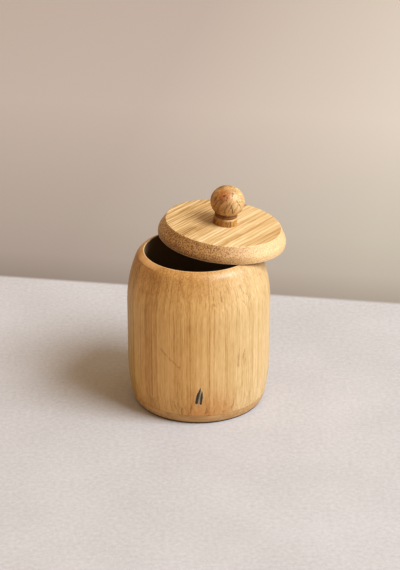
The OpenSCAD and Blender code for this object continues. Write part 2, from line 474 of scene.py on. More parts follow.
def add_finish(tree, sockets):
    """Adds the shader with its sockets filled, and joins it to the material's output."""
    shader = add(tree, "BsdfPrincipled", sockets)
    add(tree, "OutputMaterial", {"Surface": shader})


# %% [markdown]
# ## Bamboo as a solid
# Bamboo is a bundle of long fibres. Sawn along them it shows streaks, and sawn across them it shows dots. An
# image wrapped round the jar would show streaks everywhere, so the pattern is a solid one instead: a noise
# that is stretched along the fibres fills the whole piece, and the turned surface cuts through it. Then the
# shoulder, the rim and the ends of the lid are dotted by themselves, and a finer speckle is laid over them.
# All lengths below are in millimetres: the coordinates are turned to millimetres first.

# %% Helpers for wood
OILED_WOOD_IOR = 1.47


def millimetres(tree, matrix=None):
    """Object coordinates in millimetres, on the axes of a matrix if one is given."""
    place = add(tree, "TexCoord").outputs["Object"]
    if matrix is not None:
        spot, turn, _ = matrix.decompose()
        place = add(tree, "Mapping", {"Vector": place, "Location": spot, "Rotation": turn.to_euler()},
                    vector_type="TEXTURE")
    return add(tree, "VectorMath", {0: place, "Scale": 1 / MM}, operation="SCALE")


def fibres(tree, place, across, along, detail=2.0):
    """Streaks along z, with their width and their length in millimetres."""
    grid = add(tree, "VectorMath", {0: place, 1: (1 / across, 1 / across, 1 / along)}, operation="MULTIPLY")
    return add(tree, "TexNoise", {"Vector": grid, "Scale": 1.0, "Detail": detail, "Roughness": 0.6})


def bundles(tree, place, apart, along):
    """Dark pores of the fibre bundles: 1 at the middle of a bundle and 0 between bundles."""
    grid = add(tree, "VectorMath", {0: place, 1: (1 / apart, 1 / apart, 1 / along)}, operation="MULTIPLY")
    cells = add(tree, "TexVoronoi", {"Vector": grid, "Scale": 1.0})
    return add(tree, "MapRange", {"Value": cells.outputs["Distance"], "From Min": 0.15, "From Max": 0.5,
                                  **FALLING})


def weigh(tree, *parts):
    """A sum of values, each moved so that its middle is 0 and then given a weight."""
    total = None
    for value, middle, weight in parts:
        part = add(tree, "Math", {0: value, 1: middle}, operation="SUBTRACT")
        total = add(tree, "Math", {0: part, 1: weight, 2: 0.5 if total is None else total},
                    operation="MULTIPLY_ADD")
    return total


def wander(tree, place, size, reach):
    """Moves a place about, smoothly, by up to about a fifth of the reach. The size is that of one bend."""
    noise = add(tree, "TexNoise", {"Vector": place, "Scale": 1 / size, "Detail": 2.0}).outputs["Color"]
    moved = add(tree, "VectorMath", {0: noise, 1: (0.5, 0.5, 0.5)}, operation="SUBTRACT")
    moved = add(tree, "VectorMath", {0: moved, "Scale": reach}, operation="SCALE")
    return add(tree, "VectorMath", {0: place, 1: moved}, operation="ADD")


def band(tree, way, start, end, edge=0.4):
    """1 between two places along a way, and 0 beyond them."""
    begun, ended = [add(tree, "MapRange", {"Value": way, "From Min": spot - edge, "From Max": spot + edge},
                        **SMOOTH) for spot in (start, end)]
    return add(tree, "Math", {0: begun, 1: ended}, operation="SUBTRACT")


def set_apart(tree, grain, own_colour, reach):
    """Gives each stave or strip its own part of the grain, chosen by its random colour."""
    apart = add(tree, "VectorMath", {0: own_colour, "Scale": reach}, operation="SCALE")
    return add(tree, "VectorMath", {0: grain, 1: apart}, operation="ADD")


def coated(tree, wood, mask, share, colour, **blend):
    """The wood with a share of a colour laid over it where the mask is 1."""
    share = add(tree, "Math", {0: mask, 1: share}, operation="MULTIPLY")
    return add(tree, "Mix", {0: share, 6: wood, 7: colour}, **blend)


def oiled(tree, wood, relief, strength, deep_mm, gloss):
    """Finishes a wood with its colour, its relief and its gloss."""
    bump = add(tree, "Bump", {"Height": relief, "Strength": strength, "Distance": deep_mm * MM})
    add_finish(tree, {"Base Color": wood, "Roughness": gloss, "Normal": bump, "IOR": OILED_WOOD_IOR})


def end_grain(tree, direction):
    """How squarely the surface cuts the fibres: 0 along them and 1 across them."""
    normal = add(tree, "TexCoord").outputs["Normal"]
    facing = add(tree, "VectorMath", {0: normal, 1: direction}, operation="DOT_PRODUCT")
    return add(tree, "Math", {0: facing}, operation="ABSOLUTE")


# %% [markdown]
# ## Marks of use
# The photograph shows a few plain marks on the front: two dark slivers low in the middle, where bark was
# trapped in the grain, a fine scratch on the left, short tears where the lathe tool lifted the fibres of the
# shoulder and the foot, two seams that opened a little, and a small knot on the right. A mark that lies on
# the surface is drawn on flat coordinates, which are the way round the piece and the height.

# %% Helpers for marks


def unrolled(tree, place, radius):
    """The surface laid flat: x is the way round from the front, y is the height, in millimetres."""
    parts = add(tree, "SeparateXYZ", {0: place}).outputs
    depth = add(tree, "Math", {0: parts["Y"], 1: -1.0}, operation="MULTIPLY")
    turn = add(tree, "Math", {0: parts["X"], 1: depth}, operation="ARCTAN2")
    way = add(tree, "Math", {0: turn, 1: radius}, operation="MULTIPLY")
    return add(tree, "CombineXYZ", {0: way, 1: parts["Z"]})


def slivers(tree, flat, *runs):
    """1 inside thin marks. Each has its start, its end, and its half width at the start and at the end."""
    most = None
    for start, end, half_start, half_end in runs:
        run = Vector(end) - Vector(start)
        from_start = add(tree, "VectorMath", {0: flat, 1: (*start, 0.0)}, operation="SUBTRACT")
        reach = (run.x / run.length_squared, run.y / run.length_squared, 0.0)
        share = add(tree, "VectorMath", {0: from_start, 1: reach}, operation="DOT_PRODUCT")
        share = add(tree, "Clamp", {"Value": share})
        nearest = add(tree, "VectorMath", {0: (run.x, run.y, 0.0), "Scale": share}, operation="SCALE")
        away = add(tree, "VectorMath", {0: from_start, 1: nearest}, operation="DISTANCE")
        half = add(tree, "Math", {0: share, 1: half_end - half_start, 2: half_start},
                   operation="MULTIPLY_ADD")
        ratio = add(tree, "Math", {0: away, 1: half}, operation="DIVIDE")
        mark = add(tree, "MapRange", {"Value": ratio, "From Min": 0.6, "From Max": 1.1, **FALLING}, **SMOOTH)
        most = mark if most is None else add(tree, "Math", {0: most, 1: mark}, operation="MAXIMUM")
    return most


def eye_in_grain(tree, place, centre, wide, high, strength):
    """Bends the fibres apart round a point, as they grow round a knot."""
    spot = Vector(centre)
    tangent = Vector((-spot.y, spot.x, 0.0)).normalized()
    away = add(tree, "VectorMath", {0: place, 1: spot}, operation="SUBTRACT")
    squash = add(tree, "VectorMath", {0: away, 1: (1 / wide, 1 / wide, 1 / high)}, operation="MULTIPLY")
    far = add(tree, "VectorMath", {0: squash}, operation="LENGTH")
    near = add(tree, "MapRange", {"Value": far, "From Min": 0.0, "From Max": 1.0, "To Min": -strength,
                                  "To Max": 0.0}, interpolation_type="SMOOTHERSTEP")
    side = add(tree, "VectorMath", {0: away, 1: tangent}, operation="DOT_PRODUCT")
    pull = add(tree, "Math", {0: side, 1: near}, operation="MULTIPLY")
    shift = add(tree, "VectorMath", {0: tangent, "Scale": pull}, operation="SCALE")
    return add(tree, "VectorMath", {0: place, 1: shift}, operation="ADD")


# %% [markdown]
# ## Bamboo of the wall: laminated staves, turned, sanded and oiled
# Bamboo staves about 10 mm wide are glued side by side, so the tone steps a little from stave to stave while
# fine streaks run up each one. Real fibre bundles are 0.3 mm wide. They are drawn about 1.2 mm wide, because
# anything finer is lost between the pixels of the picture. Light and shade are painted into the colour: the
# lit right side is painted paler and straw-coloured, and the shaded left a deeper honey. Oil leaves a soft
# gloss.

# %% Staves of the wall
STAVES = 30
STAVE_SEED = 5.2
# the first band darkens the whole left as painted shade; the others are the tones of single staves
STAVE_TONES_AND_LEFT_SHADE = ((-78.0, -30.0, -0.1), (-56.3, -50.1, 0.08), (-49.4, -41.9, 0.07), (-41.0, -34.6, 0.02),
                (-24.8, -24.1, -0.1), (-23.6, -20.9, 0.06), (-20.6, -20.0, -0.1), (-11.6, -8.6, 0.05),
                (6.8, 7.6, -0.1), (10.6, 11.4, -0.08), (24.4, 31.4, 0.05), (38.4, 42.8, -0.05))
KNOTS = ((22.0, 92.0, 7.0, 22.0, 0.4), (38.5, 50.5, 5.0, 13.0, 0.7), (-66.0, 62.0, 6.0, 20.0, 0.5),
         (-10.0, 22.0, 5.0, 16.0, 0.5))


def staves_of(tree, way_round):
    """A random colour for each stave, and 1 on the glued seams between them."""
    count = add(tree, "Math", {0: way_round, 1: STAVES / (2 * math.pi * BODY_R / MM), 2: STAVE_SEED},
                operation="MULTIPLY_ADD")
    cells = {"W": count, "Scale": 1.0, "Randomness": 0.6}
    stave = add(tree, "TexVoronoi", cells, voronoi_dimensions="1D").outputs["Color"]
    seams = add(tree, "TexVoronoi", cells, voronoi_dimensions="1D", feature="DISTANCE_TO_EDGE")
    seam = add(tree, "MapRange", {"Value": seams, "From Min": 0.012, "From Max": 0.045, **FALLING})
    return stave, seam


def wall_grain(tree, place, height):
    """Fibres that wander: a little all over, and more near the foot and on the shoulder."""
    foot = add(tree, "MapRange", {"Value": height, "From Min": 9.0, "From Max": 26.0, **FALLING}, **SMOOTH)
    head = add(tree, "MapRange", {"Value": height, "From Min": 84.0, "From Max": 104.0, "To Max": 0.6},
               **SMOOTH)
    ends = add(tree, "Math", {0: foot, 1: head}, operation="MAXIMUM")
    slow = add(tree, "Math", {0: ends, 1: 3.0, 2: 0.9}, operation="MULTIPLY_ADD")
    quick = add(tree, "Math", {0: foot, 1: 3.2}, operation="MULTIPLY")
    grain = wander(tree, wander(tree, place, 11.0, slow), 4.0, quick)
    for turn_deg, up_mm, wide, high, strength in KNOTS:
        turn = math.radians(turn_deg)
        spot = (BODY_R / MM * math.sin(turn), -BODY_R / MM * math.cos(turn), up_mm)
        grain = eye_in_grain(tree, grain, spot, wide, high, strength)
    return grain


# %% [markdown]
# The marks of the wall are kept apart from its grain, as they came later. Each one is a short run on the flat
# coordinates with a torn edge.

# %% Marks on the wall
FLAW_LOW = 18.2
BARK = (((-1.6, FLAW_LOW), (-0.3, FLAW_LOW + 6.0), 1.1, 1.5),
        ((-0.3, FLAW_LOW + 6.0), (1.3, FLAW_LOW + 12.0), 1.5, 0.2),
        ((1.4, FLAW_LOW - 1.0), (1.8, FLAW_LOW + 4.5), 0.9, 1.2),
        ((1.8, FLAW_LOW + 4.5), (2.4, FLAW_LOW + 9.4), 1.2, 0.2))
BARK_HEART = (((-0.1, FLAW_LOW - 0.2), (0.8, FLAW_LOW + 5.0), 0.9, 0.7),
              ((0.8, FLAW_LOW + 5.0), (1.9, FLAW_LOW + 10.0), 0.7, 0.3))
RIM_WIDE = 0.6
BARK_RIM = tuple((start, end, half_start + RIM_WIDE, half_end + RIM_WIDE)
                 for start, end, half_start, half_end in BARK)
SCRATCH = (((-27.1, 56.6), (-19.5, 49.6), 0.9, 0.7), ((-19.0, 49.6), (-13.8, 44.9), 0.5, 0.9))
# the tears are drawn as dark lines without relief, so their darkness paints the shade inside the lifted
# fibres
TEARS = (((9.2, 101.4), (11.4, 91.1), 0.4, 0.75), ((15.5, 101.0), (16.8, 93.5), 0.4, 0.8),
         ((21.3, 102.0), (22.4, 98.8), 0.4, 0.5), ((28.8, 101.2), (29.6, 93.8), 0.3, 0.6),
         ((32.6, 101.6), (35.0, 95.5), 0.6, 0.4), ((33.0, 91.7), (35.5, 87.0), 0.5, 0.4),
         ((37.7, 95.1), (39.9, 89.7), 0.5, 0.3), ((34.4, 54.5), (32.6, 47.6), 0.5, 0.7),
         ((35.0, 47.2), (34.3, 43.5), 0.5, 0.4), ((29.5, 55.0), (28.8, 43.0), 0.4, 0.8),
         ((-5.2, 17.1), (-5.6, 10.4), 0.4, 0.8), ((-12.3, 13.9), (-12.0, 8.3), 0.4, 0.7),
         ((6.3, 14.8), (5.2, 9.4), 0.4, 1.0), ((17.1, 9.5), (20.8, 9.2), 0.5, 0.5),
         ((27.4, 22.0), (24.7, 9.2), 0.3, 0.7), ((-18.4, 18.0), (-16.5, 12.4), 0.4, 0.6),
         ((-28.4, 112.0), (-22.2, 99.2), 0.35, 0.35), ((-17.2, 112.0), (-12.3, 100.5), 0.3, 0.35))


def marked(tree, wood, flat):
    """The wood with its marks drawn over it, and the bark alone for its relief."""
    torn = wander(tree, flat, 1.6, 0.9)
    loose = wander(tree, flat, 3.0, 2.4)
    bark = slivers(tree, torn, *BARK)
    for mark, share, colour in ((slivers(tree, loose, *SCRATCH), 0.36, "#94602F"),
                                (slivers(tree, loose, *TEARS), 0.45, "#8F5F2F"),
                                (slivers(tree, torn, *BARK_RIM), 0.3, "#E6CFA4"),
                                (bark, 0.95, "#2B2212"),
                                (slivers(tree, torn, *BARK_HEART), 0.75, "#969484")):
        wood = coated(tree, wood, mark, share, colour, **COLOUR)
    return wood, bark


# %% [markdown]
# Now the pieces come together: tone from the fibres, colour from two ramps that paint the shaded left and the
# lit right, a little darkening where the fibres are cut, a painted highlight along the sanded edge of the
# mouth, and a dull grey-brown painted shade in the bore.

# %% Material of the wall
# painted light and shade: the first ramp is the shaded left's colour and the second the lit right's
SHADED_SIDE_TONES = ((0, "#7D5426"), (0.3, "#B18345"), (0.5, "#D0A463"), (0.68, "#DFB779"), (1, "#EFCF97"))
LIT_SIDE_TONES = ((0, "#7A572E"), (0.3, "#AC8953"), (0.5, "#CAAA75"), (0.68, "#D9BD8E"), (1, "#E8D7B1"))
LIT_SIDE_FROM = -10.0
LIT_SIDE_TO = 38.0
LEFT_RIM_BANDS = ((109.8, 112.1, 0.55, "#D3A46A"), (108.9, 109.5, 0.45, "#855A2D"))


def laminated_bamboo_wall():
    material, tree = new_material("oiled_bamboo_staves")
    place = millimetres(tree)
    flat = unrolled(tree, place, BODY_R / MM)
    laid = add(tree, "SeparateXYZ", {0: flat}).outputs
    parts = add(tree, "SeparateXYZ", {0: place}).outputs
    grain = wall_grain(tree, place, parts["Z"])
    stave, seam = staves_of(tree, laid["X"])
    stave_tone = add(tree, "SeparateColor", {0: stave}).outputs["Red"]
    own = set_apart(tree, grain, stave, 40.0)

    broad = fibres(tree, own, 3.4, 200.0)
    fine = fibres(tree, own, 1.2, 85.0)
    flecks = fibres(tree, grain, 0.7, 7.0)
    pores = bundles(tree, grain, 1.7, 60.0)
    cloud = add(tree, "TexNoise", {"Vector": place, "Scale": 0.035, "Detail": 3.0})
    strips = [(band(tree, laid["X"], start, end, 0.3), 0.0, weight) for start, end, weight in STAVE_TONES_AND_LEFT_SHADE]
    tone = weigh(tree, (stave_tone, 0.5, 0.07), (broad, 0.5, 0.2), (fine, 0.5, 0.46), (flecks, 0.5, 0.36),
                 (pores, 0.2, -0.04), (cloud, 0.5, 0.16), (seam, 0.1, -0.08), *strips)
    shaded_side_wood = add(tree, "ValToRGB", {0: tone}, stops=SHADED_SIDE_TONES).outputs["Color"]
    lit_side_wood = add(tree, "ValToRGB", {0: tone}, stops=LIT_SIDE_TONES).outputs["Color"]
    # the share of the painted lit side, which grows towards the right across the front
    painted_lit_side = add(tree, "MapRange", {"Value": parts["X"], "From Min": LIT_SIDE_FROM, "From Max": LIT_SIDE_TO},
                   **SMOOTH)
    wood = add(tree, "Mix", {0: painted_lit_side, 6: shaded_side_wood, 7: lit_side_wood}, **COLOUR)

    # the shoulder and the foot, where the surface cuts the fibres, are a little darker and speckled, less so
    # where the lit right is painted
    cut = add(tree, "MapRange", {"Value": end_grain(tree, (0.0, 0.0, 1.0)), "From Min": 0.08,
                                 "From Max": 0.45}, **SMOOTH)
    pale = add(tree, "MapRange", {"Value": painted_lit_side, "To Min": 1.0, "To Max": 0.35})
    cut = add(tree, "Math", {0: cut, 1: pale}, operation="MULTIPLY")
    speck = add(tree, "TexNoise", {"Vector": grain, "Scale": 1.1, "Detail": 3.0, "Roughness": 0.7})
    speck = add(tree, "MapRange", {"Value": speck, "From Min": 0.42, "From Max": 0.66}, **SMOOTH)
    dotted = add(tree, "Mix", {0: speck, 6: "#E8DFD0", 7: "#CDB79C"}, **COLOUR)
    wood = add(tree, "Mix", {0: cut, 6: wood, 7: dotted}, **TINT)
    wood, bark = marked(tree, wood, flat)

    # low in the middle the wood is ruddier, and round on the far left it is tinted a little greener as
    # painted shade
    low = add(tree, "MapRange", {"Value": parts["Z"], "From Min": 8.0, "From Max": 36.0, **FALLING}, **SMOOTH)
    ruddy = add(tree, "Math", {0: band(tree, laid["X"], -8.0, 26.0, 7.0), 1: low}, operation="MULTIPLY")
    wood = add(tree, "Mix", {0: ruddy, 6: wood, 7: "#F8E6D8"}, **TINT)
    far_left = add(tree, "MapRange", {"Value": parts["X"], "From Min": -49.0, "From Max": -37.0, **FALLING},
                   **SMOOTH)
    wood = add(tree, "Mix", {0: far_left, 6: wood, 7: "#EDF4E6"}, **TINT)

    # on the left a pale band is painted on the top of the wall, with a darker line below it
    left = band(tree, laid["X"], -70.0, -38.0, 6.0)
    for low_z, high_z, share, colour in LEFT_RIM_BANDS:
        strip = band(tree, parts["Z"], low_z, high_z, 0.3)
        strip = add(tree, "Math", {0: strip, 1: left}, operation="MULTIPLY")
        wood = coated(tree, wood, strip, share, colour, **COLOUR)

    # a pale line is painted along the sanded edge of the mouth as its highlight, and the raw bore is painted
    # grey-brown as shade and made matte
    level = add(tree, "CombineXYZ", {0: parts["X"], 1: parts["Y"]})
    out = add(tree, "VectorMath", {0: level}, operation="LENGTH")
    sanded_edge_highlight = add(tree, "MapRange", {"Value": out, "From Min": (BORE_R + MOUTH_EDGE) / MM, "To Min": 0.5,
                                    "From Max": (BORE_R + MOUTH_EDGE) / MM + 0.5, "To Max": 0.0}, **SMOOTH)
    wood = add(tree, "Mix", {0: sanded_edge_highlight, 6: wood, 7: "#E4C79C"}, **COLOUR)
    raw_bore_painted_shade = add(tree, "MapRange", {"Value": out, "From Min": BORE_R / MM + 0.02, "To Min": 0.9,
                                   "From Max": BORE_R / MM + 0.15, "To Max": 0.0})
    wood = add(tree, "Mix", {0: raw_bore_painted_shade, 6: wood, 7: "#6E573F"}, **COLOUR)

    relief = weigh(tree, (fine, 0.5, 0.8), (flecks, 0.5, 0.5), (pores, 0.2, -0.3), (seam, 0.1, -0.4),
                   (bark, 0.0, -1.5))
    gloss = add(tree, "MapRange", {"Value": fine, "To Min": 0.5, "To Max": 0.38})
    gloss = add(tree, "Math", {0: sanded_edge_highlight, 1: 0.8, 2: gloss}, operation="MULTIPLY_ADD", use_clamp=True)
    gloss = add(tree, "Math", {0: raw_bore_painted_shade, 1: 0.5, 2: gloss}, operation="MULTIPLY_ADD", use_clamp=True)
    oiled(tree, wood, relief, 0.3, 0.15, gloss)
    return material


wall.data.materials.append(laminated_bamboo_wall())
print("wall finished")

# %% [markdown]
# ## Bamboo of the bottom: one flat board, its edge sanded smooth
# The bottom disc is cut from a board whose fibres lie level, from left to right. Its edge at the front so
# shows long quiet streaks instead of the wall's upright ones, drawn about 1 mm wide, and it is a shade
# darker. A thin dark line is painted along the lowest edge of the foot as contact shadow, which sets the jar
# off from what it stands on.

# %% Material of the bottom
LEVEL_GRAIN = Matrix.Rotation(math.radians(90.0), 4, "Y")
CONTACT_SHADE_MM = 1.3
CONTACT_SHADE_SOFT = 0.3
BOARD = ((0, "#7A5629"), (0.35, "#AA804B"), (0.5, "#C19863"), (0.7, "#D1AE7A"), (1, "#E0C291"))


def board_bamboo_bottom():
    material, tree = new_material("sanded_bamboo_board")
    grain = millimetres(tree, LEVEL_GRAIN)
    broad = fibres(tree, grain, 2.2, 60.0, detail=3.0)
    fine = fibres(tree, grain, 0.9, 16.0, detail=4.0)
    pores = bundles(tree, grain, 1.6, 30.0)
    tone = weigh(tree, (broad, 0.5, 0.5), (fine, 0.5, 0.5), (pores, 0.2, -0.08))
    wood = add(tree, "ValToRGB", {0: tone}, stops=BOARD).outputs["Color"]
    height = add(tree, "SeparateXYZ", {0: millimetres(tree)}).outputs["Z"]
    # painted contact shadow: the lowest edge of the foot is darkened almost to black
    painted_contact_shade = add(tree, "MapRange", {"Value": height, "From Min": CONTACT_SHADE_MM - CONTACT_SHADE_SOFT, "To Min": 0.9,
                                    "From Max": CONTACT_SHADE_MM, "To Max": 0.0}, **SMOOTH)
    wood = add(tree, "Mix", {0: painted_contact_shade, 6: wood, 7: "#2C1C0A"}, **COLOUR)
    gloss = add(tree, "MapRange", {"Value": broad, "To Min": 0.5, "To Max": 0.38})
    gloss = add(tree, "Math", {0: painted_contact_shade, 1: 0.5, 2: gloss}, operation="MULTIPLY_ADD", use_clamp=True)
    oiled(tree, wood, fine, 0.25, 0.1, gloss)
    return material


bottom.data.materials.append(board_bamboo_bottom())
print("bottom finished")

# %% [markdown]
# ## Bamboo of the lid: narrow strips on edge, turned as one disc
# The lid's strips lie side by side and run from the front left to the back right. The pattern uses the lid's
# own axes, turned so that z runs along the strips, so it tilts with the lid. Its lines are drawn about 1 mm
# wide, for the same reason as on the wall. The turned edge is speckled, and darkest at the front left, where
# it cuts the fibres square; on the left, away from the window, shade is also painted into the lines and
# specks.

# %% Material of the lid
STRIP_WAY_DEG = 57.0
STRIP_MM = 5.5
STRIP_SEED = 20.3
ALONG_STRIPS = Matrix.Rotation(math.radians(STRIP_WAY_DEG), 4, "Z")
ALONG_STRIPS = ALONG_STRIPS @ Matrix.Rotation(math.radians(90.0), 4, "Y")
LID_TONES = ((0, "#7B582E"), (0.3, "#B08851"), (0.5, "#CCAC76"), (0.7, "#DBC092"), (1, "#E7D4B0"))
TOP_STRIPS = ((-41.0, -29.5, -0.12), (3.5, 60.0, -0.1), (6.0, 11.5, -0.1), (25.0, 26.2, -0.1))


def laminated_bamboo_lid():
    material, tree = new_material("oiled_bamboo_strips")
    laid = millimetres(tree, ON_RIM @ ALONG_STRIPS)
    grain = wander(tree, laid, 30.0, 2.2)
    side = add(tree, "SeparateXYZ", {0: grain}).outputs["Y"]
    count = add(tree, "Math", {0: side, 1: 1 / STRIP_MM, 2: STRIP_SEED}, operation="MULTIPLY_ADD")
    strip = add(tree, "TexVoronoi", {"W": count, "Scale": 1.0, "Randomness": 0.7},
                voronoi_dimensions="1D").outputs["Color"]
    strip_tone = add(tree, "SeparateColor", {0: strip}).outputs["Red"]
    own = set_apart(tree, grain, strip, 50.0)
    broad = fibres(tree, own, 2.2, 150.0)
    fine = fibres(tree, own, 0.95, 60.0)
    pores = bundles(tree, grain, 1.5, 150.0)
    strips = [(band(tree, side, start, end, 0.6), 0.0, weight) for start, end, weight in TOP_STRIPS]

    # painted shade: away from the window, on the left, the lines are crisper and the specks are deeper
    ways = add(tree, "SeparateXYZ", {0: millimetres(tree)}).outputs
    shaded = add(tree, "MapRange", {"Value": ways["X"], "From Min": -20.0, "From Max": 50.0, **FALLING},
                 **SMOOTH)
    crisp = add(tree, "Math", {0: fine, 1: 0.5}, operation="SUBTRACT")
    crisp = add(tree, "Math", {0: crisp, 1: shaded}, operation="MULTIPLY")
    tone = weigh(tree, (strip_tone, 0.5, 0.08), (broad, 0.5, 0.55), (fine, 0.5, 0.8), (crisp, 0.0, 0.9),
                 (pores, 0.2, -0.08), *strips)
    wood = add(tree, "ValToRGB", {0: tone}, stops=LID_TONES).outputs["Color"]

    # the bulging side is speckled all round, and darkest where it cuts the fibres square
    lid_axis = ON_RIM.to_3x3() @ Vector((0, 0, 1))
    cut = add(tree, "MapRange", {"Value": end_grain(tree, lid_axis), "From Min": 0.85, "From Max": 0.99,
                                 "To Min": 0.85, "To Max": 0.0})
    speck = add(tree, "TexNoise", {"Vector": grain, "Scale": 1.15, "Detail": 3.0, "Roughness": 0.75})
    speck = add(tree, "MapRange", {"Value": speck, "From Min": 0.44, "From Max": 0.6}, **SMOOTH)
    depth = add(tree, "MapRange", {"Value": shaded, "To Min": 0.4, "To Max": 1.5})
    specks = add(tree, "Math", {0: speck, 1: depth}, operation="MULTIPLY", use_clamp=True)
    dotted = add(tree, "Mix", {0: specks, 6: "#DFBC88", 7: "#855D2D"}, **COLOUR)
    dotted = add(tree, "Mix", {0: shaded, 6: dotted, 7: "#F6EECA"}, **TINT)
    wood = add(tree, "Mix", {0: cut, 6: wood, 7: dotted}, **COLOUR)
    strips_way = (ON_RIM @ ALONG_STRIPS).to_3x3() @ Vector((0, 0, 1))
    square = add(tree, "MapRange", {"Value": end_grain(tree, strips_way), "From Min": 0.3, "From Max": 0.95,
                                    "To Max": 0.55}, **SMOOTH)
    wood = add(tree, "Mix", {0: square, 6: wood, 7: "#AF8049"}, **TINT)

    # a pale line is painted along the sanded lower edge as its highlight
    height = add(tree, "SeparateXYZ", {0: millimetres(tree, ON_RIM)}).outputs["Z"]
    sanded_edge_highlight = add(tree, "MapRange", {"Value": height, "From Min": LID_BEVEL / MM, "To Min": 0.6,
                                    "From Max": LID_BEVEL / MM + 0.5, "To Max": 0.0}, **SMOOTH)
    wood = add(tree, "Mix", {0: sanded_edge_highlight, 6: wood, 7: "#E9D2B2"}, **COLOUR)

    relief = weigh(tree, (fine, 0.5, 1.0), (pores, 0.2, -0.6), (speck, 0.5, -0.4))
    gloss = add(tree, "MapRange", {"Value": fine, "To Min": 0.5, "To Max": 0.4})
    oiled(tree, wood, relief, 0.3, 0.15, gloss)
    return material


lid.data.materials.append(laminated_bamboo_lid())
print("lid finished")

# %% [markdown]
# ## Wood of the knob: a darker turned blank with checks
# The knob was turned from another blank, redder and patchy, and its fibres lean a little. Light and shade are
# painted into its colour: its left is painted dark as shade, and its right, down to the lower right, pale as
# lit. As it dried, fine cracks, which turners call checks, opened on the front of the ball, and a few pits
# show near the top. They are drawn on the ball's own unrolled surface, and the cracks of the collar on the
# collar's. The neck is painted darker, as the shade under the ball. The lines of the grain are drawn 0.8 mm
# wide, which is coarser than real ones.

# %% Material of the knob
LEAN_DEG = 24.0
LIT_WAY = (0.97, 0.0, -0.1)
FLARE_AT = (-3.5, -8.0, 7.0)
# painted light and shade: the first ramp is the shaded left's colour and the second the lit right's
SHADED_KNOB_TONES = ((0, "#462A0E"), (0.3, "#794F21"), (0.5, "#A3753D"), (0.72, "#C2955A"), (1, "#DDBA82"))
LIT_KNOB_TONES = ((0, "#734F27"), (0.3, "#A97F48"), (0.5, "#C8A36C"), (0.72, "#D9B986"), (1, "#E9D1A5"))
CHECKS = (((2.5, 1.6), (4.3, -4.4), 0.3, 0.36), ((6.5, 4.6), (9.3, 0.9), 0.22, 0.4),
          ((9.3, 0.9), (10.0, -1.6), 0.4, 0.2), ((0.9, 3.4), (1.9, -0.6), 0.18, 0.28),
          ((-2.2, -2.4), (-1.4, -6.0), 0.16, 0.26), ((11.8, -2.6), (12.2, -5.6), 0.2, 0.3),
          ((-5.2, 6.9), (-3.4, 7.4), 0.4, 0.4), ((-1.6, 6.5), (-1.4, 6.2), 0.45, 0.45),
          ((3.1, 7.7), (3.4, 7.6), 0.5, 0.45), ((4.4, 8.8), (4.6, 8.7), 0.55, 0.55),
          ((-1.8, 5.1), (-1.6, 4.9), 0.35, 0.35))
COLLAR_LINES = (((0.4, 0.4), (0.6, 3.4), 0.25, 0.35), ((1.8, 0.3), (1.7, 3.6), 0.3, 0.3),
                ((3.6, 0.2), (3.4, 4.0), 0.4, 0.35), ((6.9, 0.6), (6.7, 3.2), 0.35, 0.3))


def checked_knob_wood():
    material, tree = new_material("checked_turned_wood")
    place = millimetres(tree, ON_LID)
    leaning = millimetres(tree, ON_LID @ Matrix.Rotation(math.radians(LEAN_DEG), 4, "Y"))
    grain = wander(tree, leaning, 9.0, 4.0)
    broad = fibres(tree, grain, 2.4, 34.0)
    fine = fibres(tree, grain, 0.8, 20.0)
    patch = add(tree, "TexNoise", {"Vector": place, "Scale": 0.15, "Detail": 3.0})
    tone = weigh(tree, (broad, 0.5, 0.7), (fine, 0.5, 0.8), (patch, 0.5, 0.6))
    shaded_knob_wood = add(tree, "ValToRGB", {0: tone}, stops=SHADED_KNOB_TONES).outputs["Color"]
    lit_knob_wood = add(tree, "ValToRGB", {0: tone}, stops=LIT_KNOB_TONES).outputs["Color"]
    middle = add(tree, "VectorMath", {0: place, 1: (0.0, 0.0, ball_z / MM)}, operation="SUBTRACT")
    # the right, leaning a little down, is painted paler as lit, and the left darker as shade
    outward = add(tree, "VectorMath", {0: middle, 1: LIT_WAY}, operation="DOT_PRODUCT")
    lit_share = add(tree, "MapRange", {"Value": outward, "From Min": -8.0, "From Max": 7.5}, **SMOOTH)
    wood = add(tree, "Mix", {0: lit_share, 6: shaded_knob_wood, 7: lit_knob_wood}, **COLOUR)
    flare = add(tree, "VectorMath", {0: middle, 1: FLARE_AT}, operation="DISTANCE")
    flare = add(tree, "MapRange", {"Value": flare, "From Min": 2.0, "From Max": 7.5, "To Min": 0.8,
                                   "To Max": 0.0}, **SMOOTH)
    wood = add(tree, "Mix", {0: flare, 6: wood, 7: "#F4C9A2"}, **TINT)
    flat = wander(tree, unrolled(tree, middle, BALL_R / MM), 2.0, 1.1)
    low = wander(tree, unrolled(tree, place, COLLAR_R / MM), 2.0, 0.5)
    checks = add(tree, "Math", {0: slivers(tree, flat, *CHECKS), 1: slivers(tree, low, *COLLAR_LINES)},
                 operation="MAXIMUM")
    wood = coated(tree, wood, checks, 0.85, "#4A290C", **COLOUR)
    height = add(tree, "SeparateXYZ", {0: place}).outputs["Z"]
    # painted shade: the neck under the ball is darkened
    painted_neck_shade = band(tree, height, COLLAR_H / MM + 0.2, (COLLAR_H + NECK_H) / MM + 0.6, 0.5)
    wood = coated(tree, wood, painted_neck_shade, 0.9, "#A07C46", **TINT)
    foot = add(tree, "MapRange", {"Value": height, "From Min": COLLAR_H / MM - 1.0, "From Max": COLLAR_H / MM,
                                  **FALLING})
    wood = add(tree, "Mix", {0: foot, 6: wood, 7: "#DFCB9C"}, **TINT)
    relief = weigh(tree, (fine, 0.5, 0.8), (checks, 0.0, -1.6))
    gloss = add(tree, "MapRange", {"Value": patch, "To Min": 0.62, "To Max": 0.5})
    oiled(tree, wood, relief, 0.45, 0.2, gloss)
    return material


knob.data.materials.append(checked_knob_wood())
print("knob finished")

